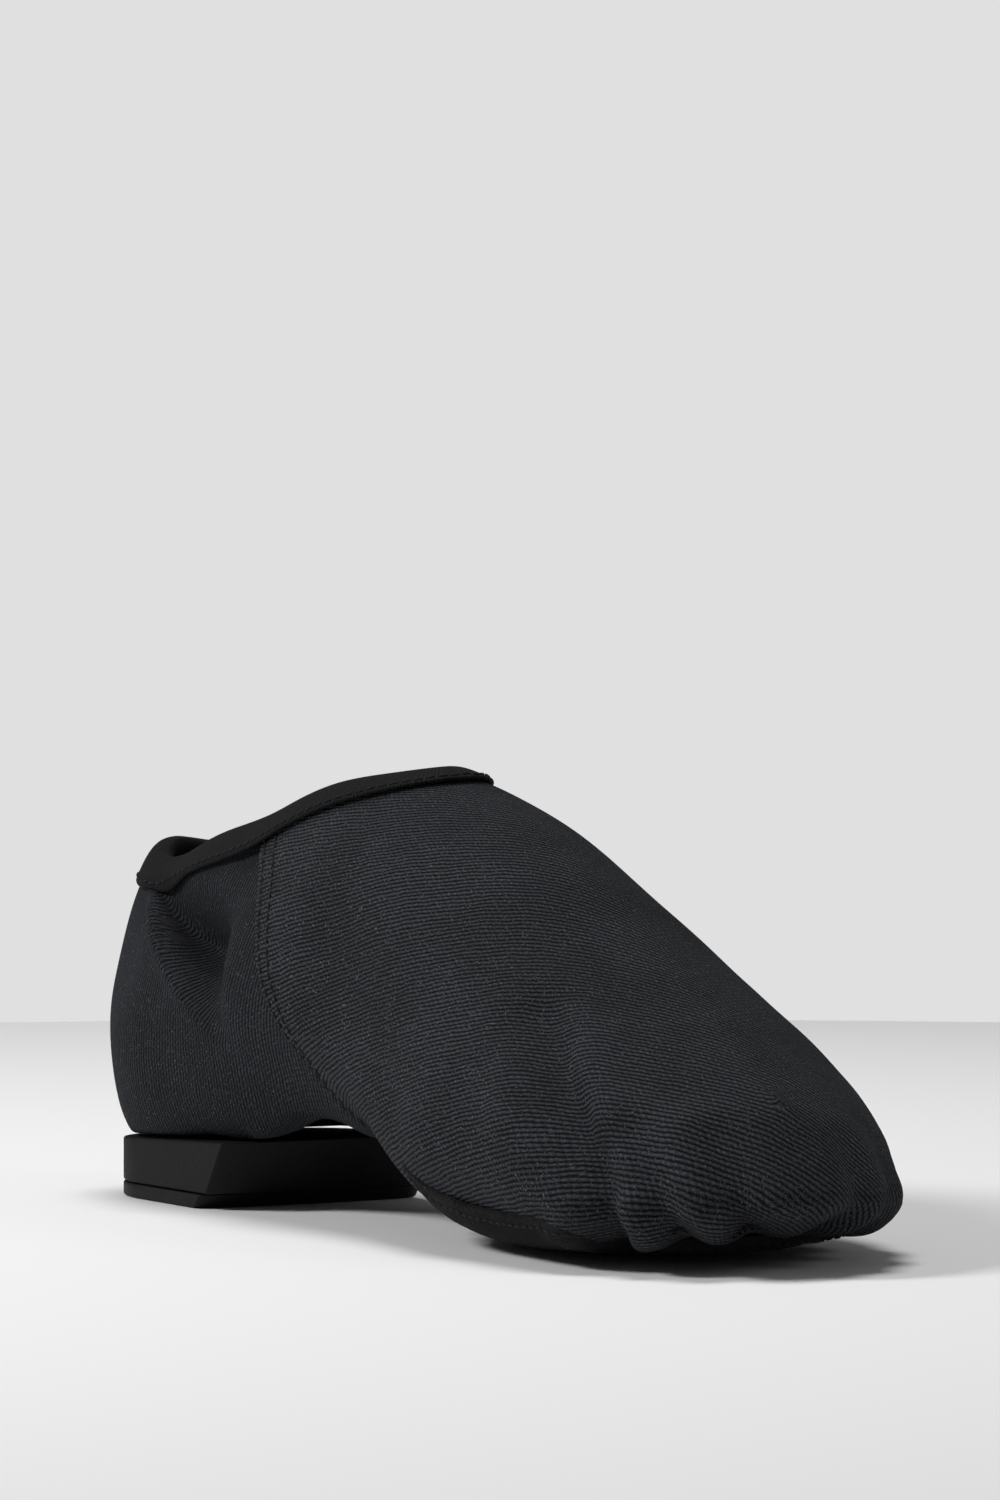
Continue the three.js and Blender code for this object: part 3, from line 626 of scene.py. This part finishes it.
def layWeave(piece, across, facing):
    # unrolls the sheet as a flat pattern in metres, turned so that V runs across the ribs where it
    # faces this way
    pickOnly(piece)
    piece.data.uv_layers.new(name="pattern")
    bpy.ops.object.mode_set(mode="EDIT")
    bpy.ops.mesh.select_all(action="SELECT")
    bpy.ops.uv.unwrap(method="MINIMUM_STRETCH", margin=0.001)
    bpy.ops.object.mode_set(mode="OBJECT")
    cage = bmesh.new()
    cage.from_mesh(piece.data)
    uv = cage.loops.layers.uv["pattern"]
    across, facing = Vector(across).normalized(), Vector(facing).normalized()
    for island in islandsOf(cage):
        grain, real, flat = Vector((1e-9, 0)), 0.0, 0.0
        for face in island:
            corner, second, third = face.loops[0], face.loops[1], face.loops[2]
            e1, e2 = second.vert.co - corner.vert.co, third.vert.co - corner.vert.co
            u1, u2 = second[uv].uv - corner[uv].uv, third[uv].uv - corner[uv].uv
            normal = e1.cross(e2)
            area = normal.length / 2
            if area < 1e-10:
                continue
            normal.normalize()
            way = across - normal * across.dot(normal)
            a, b, c = e1.dot(e1), e1.dot(e2), e2.dot(e2)
            det = a * c - b * b
            first = (way.dot(e1) * c - way.dot(e2) * b) / det
            other = (way.dot(e2) * a - way.dot(e1) * b) / det
            grain += (u1 * first + u2 * other) * area * max(0.0, abs(normal.dot(facing)) - 0.5)
            real += area
            flat += abs(u1.x * u2.y - u1.y * u2.x) / 2
        size = math.sqrt(real / max(flat, 1e-12))
        turn = Matrix.Rotation(math.pi / 2 - math.atan2(grain.y, grain.x), 2)
        for face in island:
            for loop in face.loops:
                loop[uv].uv = turn @ loop[uv].uv * size
    cage.to_mesh(piece.data)
    cage.free()


def refine(piece, levels):
    pickOnly(piece)
    finer = piece.modifiers.new("finer", "SUBSURF")
    finer.levels = levels
    finer.render_levels = levels
    bpy.ops.object.modifier_apply(modifier=finer.name)


def bendAtArch(piece):
    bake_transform(piece)


sheets = {
    "vamp_cloth": {
        "node": "vamp", "finish": "twill", "slot": "twill", "thickness": 0.0012,
        "across": (0.12, 0.4, 0.9), "facing": (0.25, -0.75, 0.6),
        "levels": 3, "flat": (0.24, 0.21), "area": 0.0305, "held": "stretched",
        "rests": ["vamp_lining_cloth"],
    },
    "vamp_lining_cloth": {
        "node": "vamp_lining", "finish": "lining", "slot": "lining", "thickness": 0.0008,
        "across": (0, 0.4, 0.9),
        "levels": 2, "flat": (0.2, 0.19), "area": 0.024, "held": "stretched", "rests": ["front_sock_cloth"],
    },
    "quarter_right_cloth": {
        "node": "quarter_right", "finish": "quarter", "slot": "twill", "thickness": 0.0012,
        "across": (1, 0, -0.12),
        "levels": 3, "flat": (0.125, 0.085), "area": 0.0085, "held": "stretched",
        "rests": ["heel_block_body"],
    },
    "quarter_left_cloth": {
        "node": "quarter_left", "finish": "quarter", "slot": "twill", "thickness": 0.0012,
        "across": (1, 0, -0.12),
        "levels": 3, "flat": (0.125, 0.085), "area": 0.0085, "held": "stretched",
        "rests": ["heel_block_body"],
    },
    "quarter_lining_right_cloth": {
        "node": "quarter_lining_right", "finish": "lining", "slot": "lining", "thickness": 0.0008,
        "across": (0, 0, 1), "levels": 2, "flat": (0.105, 0.07), "area": 0.006, "held": "stretched",
        "rests": ["quarter_right_cloth"],
    },
    "quarter_lining_left_cloth": {
        "node": "quarter_lining_left", "finish": "lining", "slot": "lining", "thickness": 0.0008,
        "across": (0, 0, 1), "levels": 2, "flat": (0.105, 0.07), "area": 0.006, "held": "stretched",
        "rests": ["quarter_left_cloth"],
    },
    "back_tape_cloth": {
        "node": "back_seam_tape", "finish": "lining", "slot": "lining", "thickness": 0.0006,
        "across": (0, 0, 1), "levels": 2, "flat": (0.014, 0.057), "area": 0.00078, "held": "stretched",
        "rests": ["quarter_lining_left_cloth"],
    },
    "arch_cloth": {
        "node": "arch_panel", "finish": "quarter", "slot": "twill", "thickness": 0.0012,
        "across": (0, 1, 0), "facing": (0, 0, 1),
        "levels": 2, "flat": (0.034, 0.1), "area": 0.0025, "held": "stretched",
        "rests": ["quarter_right_cloth"],
    },
    "rear_sock_cloth": {
        "node": "rear_sock_lining", "finish": "lining", "slot": "lining", "thickness": 0.0008,
        "across": (0, 1, 0), "facing": (0, 0, 1),
        "levels": 2, "flat": (0.04, 0.1), "area": 0.0034, "held": "laid", "rests": ["heel_cushion"],
    },
    "front_sock_cloth": {
        "node": "front_sock_lining", "finish": "lining", "slot": "lining", "thickness": 0.0008,
        "across": (0, 1, 0), "facing": (0, 0, 1),
        "levels": 2, "flat": (0.054, 0.105), "area": 0.0046, "held": "laid", "rests": ["ball_cushion"],
    },
}
made = {}


def clothArea(piece):
    return sum(face.area for face in piece.data.polygons) / 2


def sewSheet(name, cut):
    piece = nodeCopy(cut["node"], name)
    markRims(piece, cut["thickness"], 0.5)
    layWeave(piece, cut["across"], cut.get("facing", (0, -1, 0)))
    refine(piece, cut["levels"])
    if cut["node"] not in ("rear_sock_lining", "front_sock_lining", "arch_panel"):
        drapePiece(piece)
    paint(piece, cut["finish"])
    if name == "front_sock_cloth":
        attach(piece, "forefoot")
    elif name == "back_tape_cloth":
        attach(piece, "rearfoot")
    else:
        bendAtArch(piece)
    made[name] = piece
    print("sheet", name, "area", round(clothArea(piece), 5), "faces", len(piece.data.polygons))


for sheetName, sheetCut in sheets.items():
    sewSheet(sheetName, sheetCut)
print("stage: cloth panels")


def centreLine(node, around, closed=True):
    # middle of a thread or binding node, from its own points taken in order round or up it
    points = np.array([v.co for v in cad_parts[node].data.vertices])
    points = np.unique(np.round(points, 7), axis=0)
    if closed:
        middle = (points.min(0) + points.max(0)) / 2
        order = np.argsort(np.arctan2(points[:, 1] - middle[1], points[:, 0] - middle[0]))
    else:
        order = np.argsort(points[:, 2])
    points = points[order]
    count = len(points) // around
    if not closed:
        return np.array([points[k * around:(k + 1) * around].mean(0) for k in range(count)])
    wide = np.concatenate([points[-around:], points, points[:around]])
    return np.array([wide[k * around:k * around + 2 * around].mean(0) for k in range(1, count + 1)])


def evenly(line, pitch, closed):
    line = np.concatenate([line, line[:1]]) if closed else line
    lengths = np.linalg.norm(np.diff(line, axis=0), axis=1)
    travelled = np.concatenate([[0], np.cumsum(lengths)])
    count = max(2, round(travelled[-1] / pitch))
    spots = np.linspace(0, travelled[-1], count, endpoint=not closed)
    return np.stack([np.interp(spots, travelled, line[:, k]) for k in range(3)], axis=1), travelled[-1]


def layAlong(piece, line, pitch):
    # U along a closed line as a whole number of ribs, V across it
    line = np.concatenate([line, line[:1]])
    place, share = nearestOnLine(meshPoints(piece), line)
    away = np.linalg.norm(meshPoints(piece) - place, axis=1)
    total = np.linalg.norm(np.diff(line, axis=0), axis=1).sum()
    total = round(total / pitch) * pitch
    uv = piece.data.uv_layers.new(name="pattern")
    for face in piece.data.polygons:
        shares = [share[v] for v in face.vertices]
        wraps = max(shares) - min(shares) > 0.5
        for loop, vertex in zip(face.loop_indices, face.vertices):
            turn = share[vertex] + (1 if wraps and share[vertex] < 0.5 else 0)
            uv.data[loop].uv = (turn * total, away[vertex])


def sewBinding():
    piece = nodeCopy("topline_binding", "binding_knit")
    markRims(piece, 0.0009, 0.35)
    refine(piece, 2)
    drapePiece(piece)
    rim = centreLine("topline_elastic", 6)
    layAlong(piece, rim, knitPitch)
    paint(piece, "knit")
    bendAtArch(piece)
    made["binding_knit"] = piece
    print("sheet binding_knit area", round(clothArea(piece), 5))
    cord = nodeCopy("topline_elastic", "elastic_loop")
    refine(cord, 2)
    drapePiece(cord)
    layAlong(cord, rim, knitPitch)
    paint(cord, "knit")
    bendAtArch(cord)


sewBinding()
print("stage: binding")


pads = {
    "heel_cushion": {"node": "heel_pad", "body": "rearfoot", "fill": 0.5},
    "ball_cushion": {"node": "ball_pad", "body": "forefoot", "fill": 0.5},
}
padSim = {"voxel": 0.0011, "frames": 20, "pressure": 4.0, "most": 0.0003}


def swell(piece):
    # a short cloth simulation blows the pad up a little, and no point moves further than the cap
    start = meshPoints(piece)
    cloth = piece.modifiers.new("swell", "CLOTH")
    cloth.settings.quality = 6
    cloth.settings.use_pressure = True
    cloth.settings.uniform_pressure_force = padSim["pressure"]
    cloth.settings.effector_weights.gravity = 0
    cloth.point_cache.frame_start = 1
    cloth.point_cache.frame_end = padSim["frames"]
    for step in range(1, padSim["frames"] + 1):
        bpy.context.scene.frame_set(step)
    pickOnly(piece)
    bpy.ops.object.modifier_apply(modifier=cloth.name)
    bpy.context.scene.frame_set(1)
    moved = meshPoints(piece) - start
    length = np.linalg.norm(moved, axis=1)
    moved *= np.minimum(1, padSim["most"] / np.maximum(length, 1e-9))[:, None]
    movePoints(piece, start + moved)


def fillPad(name, pad):
    piece = nodeCopy(pad["node"], name)
    refine(piece, 1)
    blocks = piece.modifiers.new("blocks", "REMESH")
    blocks.mode = "VOXEL"
    blocks.voxel_size = padSim["voxel"]
    pickOnly(piece)
    bpy.ops.object.modifier_apply(modifier=blocks.name)
    swell(piece)
    refine(piece, 1)
    paint(piece, "foam")
    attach(piece, pad["body"])
    made[name] = piece
    print("pad", name, "faces", len(piece.data.polygons))


for padName, padSizes in pads.items():
    fillPad(padName, padSizes)
print("stage: pads")


# The patch is drawn up the side of the upper: its rim stands this high at these stations along the shoe.
patch = {
    "roughness": 0.00022, "band": 0.011, "thickness": 0.003, "clear": 0.0003,
    "stations": (-0.012, 0.0, 0.010, 0.018, 0.024, 0.028, 0.032, 0.037, 0.045, 0.060, 0.083, 0.094,
                 0.106),
    "heights": (0.003, 0.004, 0.009, 0.017, 0.0215, 0.019, 0.015, 0.0128, 0.0115, 0.0103, 0.0096, 0.007,
                0.003),
}


def patchOutline():
    # half width of the patch at each of the stations it is built from
    points = np.array([v.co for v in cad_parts["forefoot_outsole"].data.vertices])
    columns = np.round(points[:, 0], 4)
    stations = np.unique(columns)
    halves = [np.abs(points[columns == x][:, 1]).max() for x in stations]
    return stations, np.array(halves)


def wrapPatch(points):
    # lays the outer band of the patch against the outside of the cloth
    cloth = made["vamp_cloth"]
    surface = surfaceOf(cloth)
    stations, halves = patchOutline()
    result = points.copy()
    for k, (x, y, z) in enumerate(points):
        height = np.interp(x, patch["stations"], patch["heights"])
        share = 1 - (np.interp(x, stations, halves) - abs(y)) / patch["band"]
        if share <= 0 or height <= patch["thickness"]:
            continue
        share = min(share, 1.0)
        side = 1 if y > 0 else -1
        level = patch["thickness"] + (height - patch["thickness"]) * share ** 1.5
        place, normal, _, _ = surface.ray_cast(Vector((x, side * 0.08, level)), Vector((0, -side, 0)))
        if place is None:
            continue
        if normal.y * side < 0:
            normal = -normal
        laid = np.array(place + normal * (patch["clear"] + patch["thickness"] - z))
        laid[2] = max(laid[2], z * 0.3)
        weight = smooth(0.0, 0.6, share) * smooth(0.0, 0.004, height - patch["thickness"])
        result[k] = points[k] * (1 - weight) + laid * weight
    return result


def cutPatch():
    piece = nodeCopy("forefoot_outsole", "suede_patch")
    markRims(piece, 0.003, 0.35)
    refine(piece, 3)
    points = meshPoints(piece)
    low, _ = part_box("forefoot_outsole")
    bits = np.sin(points[:, 0] / 0.0011 + 3 * np.sin(points[:, 1] / 0.0023))
    bits = bits * np.sin(points[:, 1] / 0.0013 + 2 * np.sin(points[:, 0] / 0.0031))
    side = np.array([v.normal for v in piece.data.vertices])
    upright = 1 - np.abs(side[:, 2])
    points += side * (patch["roughness"] * bits * upright)[:, None]
    points[:, 2] = np.maximum(points[:, 2], low.z)
    movePoints(piece, wrapPatch(points))
    paint(piece, "suede")
    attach(piece, "forefoot")
    made["suede_patch"] = piece
    print("patch faces", len(piece.data.polygons))


cutPatch()
print("stage: patch")


heel = {"sides": 96, "bow": 0.11, "slant": 0.013, "rise": 0.0028, "edge": 0.0005}


def selectWhere(piece, test, kind="VERT"):
    cage = bmesh.from_edit_mesh(piece.data)
    bpy.ops.mesh.select_mode(type=kind)
    items = cage.verts if kind == "VERT" else cage.edges
    for item in items:
        item.select_set(False)
    for item in items:
        if test(item):
            item.select_set(True)
    bmesh.update_edit_mesh(piece.data)


def turnHeelPart(name, node, sloping):
    low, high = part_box(node)
    half = (high.y - low.y) / 2
    centre = Vector((low.x + half, (low.y + high.y) / 2, (low.z + high.z) / 2))
    rise = heel["rise"] if sloping else 0
    top = high.z - rise
    clearSelection()
    bpy.ops.mesh.primitive_cylinder_add(vertices=heel["sides"], radius=half, depth=top - low.z,
                                        location=(centre.x, centre.y, (top + low.z) / 2))
    piece = bpy.context.object
    piece.name = name
    settle(piece)
    bpy.ops.object.mode_set(mode="EDIT")
    front = high.x - half * heel["bow"] - centre.x
    selectWhere(piece, lambda v: v.co.x > centre.x + 1e-5)
    bpy.ops.transform.resize(value=(heel["bow"], 1, 1), center_override=centre)
    bpy.ops.transform.translate(value=(front, 0, 0))
    slant = heel["slant"] * (top - low.z) / (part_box("heel_block")[1].z)
    selectWhere(piece, lambda v: v.co.x > centre.x + front / 2 and v.co.z < centre.z)
    bpy.ops.transform.translate(value=(-slant, 0, 0))
    if sloping:
        selectWhere(piece, lambda v: v.co.z > centre.z)
        bpy.ops.transform.rotate(value=math.atan(rise / (high.x - low.x)), orient_axis="Y",
                                 center_override=(low.x, centre.y, top))
    selectWhere(piece, lambda e: e.calc_face_angle(0) > math.radians(50), "EDGE")
    bpy.ops.mesh.bevel(offset=heel["edge"], segments=3, affect="EDGES")
    bpy.ops.object.mode_set(mode="OBJECT")
    bpy.ops.object.shade_smooth_by_angle(angle=math.radians(40))
    paint(piece, node if node in finishes else "rubber")
    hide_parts(node)
    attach(piece, "rearfoot")
    made[name] = piece
    points = meshPoints(piece).round(4)
    print("heel part", name, list(points.min(0)), list(points.max(0)))


turnHeelPart("heel_block_body", "heel_block", True)
turnHeelPart("heel_top_rubber", "heel_top_piece", False)
print("stage: heel")


stitch = {"pitch": 0.0027, "length": 0.0019, "radius": 0.00028, "clear": 0.00008}
rows = [
    {"name": f"seam_stitches_{side}_{end}", "node": f"seam_thread_{side}_{end}", "onto": "vamp_cloth",
     "closed": False, "around": 5}
    for side in ("right", "left") for end in ("rear", "front")
] + [
    {"name": "binding_stitches", "node": "binding_thread", "onto": "binding_knit", "closed": True,
     "around": 6},
    {"name": "patch_stitches", "node": "outsole_thread", "onto": "suede_patch", "closed": True,
     "around": 5},
]


def shapeStitch():
    clearSelection()
    bpy.ops.mesh.primitive_uv_sphere_add(segments=8, ring_count=6, radius=stitch["radius"],
                                         rotation=(0, math.pi / 2, 0))
    piece = bpy.context.object
    settle(piece)
    bpy.ops.object.mode_set(mode="EDIT")
    for side in (-1, 1):
        selectWhere(piece, lambda v: side * v.co.x > stitch["radius"] * 0.1)
        bpy.ops.transform.translate(value=(side * (stitch["length"] / 2 - stitch["radius"]), 0, 0))
    bpy.ops.object.mode_set(mode="OBJECT")
    bpy.ops.object.shade_smooth()
    return piece


def sewRow(row, pattern):
    onto = made[row["onto"]]
    surface = surfaceOf(onto)
    line = drape(centreLine(row["node"], row["around"], row["closed"]))
    if row["onto"] == "suede_patch":
        line = wrapPatch(centreLine(row["node"], row["around"], True))
    spots, _ = evenly(line, stitch["pitch"], row["closed"])
    copies = []
    for k, spot in enumerate(spots):
        after = (k + 1) % len(spots) if row["closed"] else min(k + 1, len(spots) - 1)
        ahead = spots[after]
        behind = spots[k - 1] if row["closed"] or k > 0 else spots[0]
        along = Vector(ahead - behind).normalized()
        place, normal, _, _ = surface.find_nearest(Vector(spot))
        if normal.dot(Vector(spot) - place) < 0:
            normal = -normal
        aside = normal.cross(along).normalized()
        along = aside.cross(normal)
        copy = pattern.copy()
        copy.data = pattern.data.copy()
        bpy.context.scene.collection.objects.link(copy)
        turn = Matrix((along, aside, normal)).transposed().to_4x4()
        copy.data.transform(Matrix.Translation(place + normal * stitch["clear"]) @ turn)
        copies.append(copy)
    clearSelection()
    for copy in copies:
        copy.select_set(True)
    bpy.context.view_layer.objects.active = copies[0]
    bpy.ops.object.join()
    piece = bpy.context.object
    piece.name = row["name"]
    paint(piece, "thread")
    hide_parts(row["node"])
    if row["onto"] == "suede_patch":
        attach(piece, "forefoot")
    else:
        bendAtArch(piece)
    print("stitches", row["name"], len(copies))


def sewRows():
    pattern = shapeStitch()
    for row in rows:
        sewRow(row, pattern)
    bpy.data.objects.remove(pattern)


sewRows()
print("stage: stitches")


for node in ("heel_counter", "heel_seat_board", "forefoot_insole"):
    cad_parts[node].material_slots[0].material = finishes["board"]

print("stage: finished")
